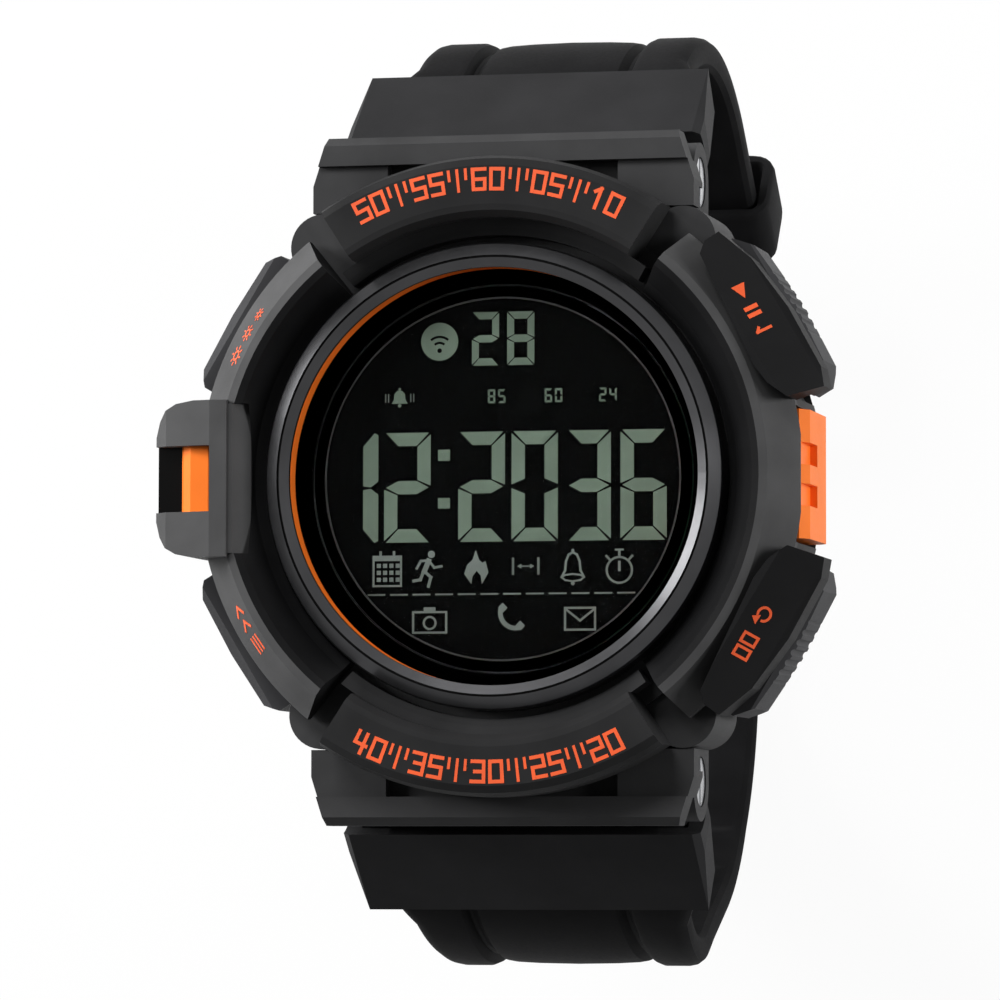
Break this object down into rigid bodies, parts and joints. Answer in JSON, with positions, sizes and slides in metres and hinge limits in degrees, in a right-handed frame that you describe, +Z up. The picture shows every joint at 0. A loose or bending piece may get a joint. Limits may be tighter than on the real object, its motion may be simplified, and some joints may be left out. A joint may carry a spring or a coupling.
{
  "type": "running watch",
  "caption": "Sport watch lying open-strapped on its loop, with a round digital display, push buttons and a pin buckle strap.",
  "frame": {"origin": "centre of the case axis on the flat tail of the strap, which is the surface the watch stands on", "axes": "+Z up out of the display, +Y towards 12 o'clock, +X towards 3 o'clock"},
  "size_m": [0.0562, 0.081, 0.0756],
  "materials": {
    "case_plastic": "fine matte",
    "black_plastic": "satin",
    "bezel_metal": "polished black",
    "orange_plastic": "satin",
    "glass": "clear",
    "display": "dark",
    "mask": "gloss black",
    "steel": "brushed",
    "buckle_steel": "dark brushed",
    "spring_steel": "bright",
    "brass": "plain",
    "seal": "matte",
    "connector": "matte",
    "light_plastic": "plain",
    "board": "solder mask",
    "dark_parts": "plain",
    "antenna": "plain",
    "strap_rubber": "matte",
    "link_plastic": "fine matte"
  },
  "bodies": {
    "case": {"case_body": "case_plastic", "case_back": "steel", "case_back_gasket": "seal", "case_back_screws": "steel", "lens": "glass", "lens_gasket": "seal", "bezel_ring": "bezel_metal", "accent_ring": "orange_plastic", "dial_mask": "mask", "lcd_panel": "display", "backlight_panel": "light_plastic", "module_frame": "light_plastic", "zebra_connectors": "connector", "circuit_board": "board", "board_chips": "dark_parts", "satellite_antenna": "antenna", "battery": "spring_steel", "battery_clip": "brass", "piezo_buzzer": "brass", "buzzer_spring": "spring_steel", "button_switches": "dark_parts", "button_seals": "seal", "left_guard": "case_plastic", "right_guard": "case_plastic", "upper_plate": "black_plastic", "lower_plate": "black_plastic", "start_cover": "black_plastic", "reset_cover": "black_plastic", "side_bracket": "case_plastic", "bracket_inlay": "orange_plastic", "upper_lug_cover": "case_plastic", "lower_lug_cover": "case_plastic", "lug_bars": "steel", "lug_screws": "steel"},
    "upper_strap": {"strap_upper": "strap_rubber", "upper_link": "link_plastic"},
    "lower_strap": {"strap_lower": "strap_rubber", "lower_link": "link_plastic"},
    "keeper": {"strap_keeper": "strap_rubber"},
    "buckle": {"buckle_bar": "steel", "buckle_frame": "buckle_steel"},
    "tongue": {"buckle_tongue": "buckle_steel"},
    "start_push": {"start_button": "black_plastic", "start_clip": "spring_steel"},
    "reset_push": {"reset_button": "black_plastic", "reset_clip": "spring_steel"},
    "select_push": {"select_button": "orange_plastic", "select_clip": "spring_steel"},
    "light_push": {"light_button": "black_plastic", "light_clip": "spring_steel"},
    "mode_push": {"mode_button": "black_plastic", "mode_clip": "spring_steel"}
  },
  "joints": [
    {"name": "upper_strap_hinge", "type": "hinge", "parent": "case", "child": "upper_strap", "pos_m": [0, 0.025, 0.0639], "axis": [1, 0, 0], "range_deg": [0, 58]},
    {"name": "lower_strap_hinge", "type": "hinge", "parent": "case", "child": "lower_strap", "pos_m": [0, -0.025, 0.0639], "axis": [-1, 0, 0], "range_deg": [0, 58]},
    {"name": "keeper_slide", "type": "slide", "parent": "upper_strap", "child": "keeper", "axis": [0, -0.6428, -0.766], "range_m": [-0.007, 0.002]},
    {"name": "buckle_hinge", "type": "hinge", "parent": "upper_strap", "child": "buckle", "pos_m": [0, 0.01731, 0.00838], "axis": [-1, 0, 0], "range_deg": [0, 60]},
    {"name": "tongue_hinge", "type": "hinge", "parent": "buckle", "child": "tongue", "pos_m": [0, 0.01731, 0.00838], "axis": [1, 0, 0], "range_deg": [0, 60]},
    {"name": "start_press", "type": "slide", "parent": "case", "child": "start_push", "axis": [-0.8572, -0.515, 0], "range_m": [0, 0.0009], "stiffness_N_per_m": 1500, "springref_m": -0.0004},
    {"name": "reset_press", "type": "slide", "parent": "case", "child": "reset_push", "axis": [-0.8572, 0.515, 0], "range_m": [0, 0.0009], "stiffness_N_per_m": 1500, "springref_m": -0.0004},
    {"name": "select_press", "type": "slide", "parent": "case", "child": "select_push", "axis": [-1, 0, 0], "range_m": [0, 0.0009], "stiffness_N_per_m": 1500, "springref_m": -0.0004},
    {"name": "light_press", "type": "slide", "parent": "case", "child": "light_push", "axis": [0.8572, -0.515, 0], "range_m": [0, 0.0009], "stiffness_N_per_m": 1500, "springref_m": -0.0004},
    {"name": "mode_press", "type": "slide", "parent": "case", "child": "mode_push", "axis": [0.8572, 0.515, 0], "range_m": [0, 0.0009], "stiffness_N_per_m": 1500, "springref_m": -0.0004}
  ]
}
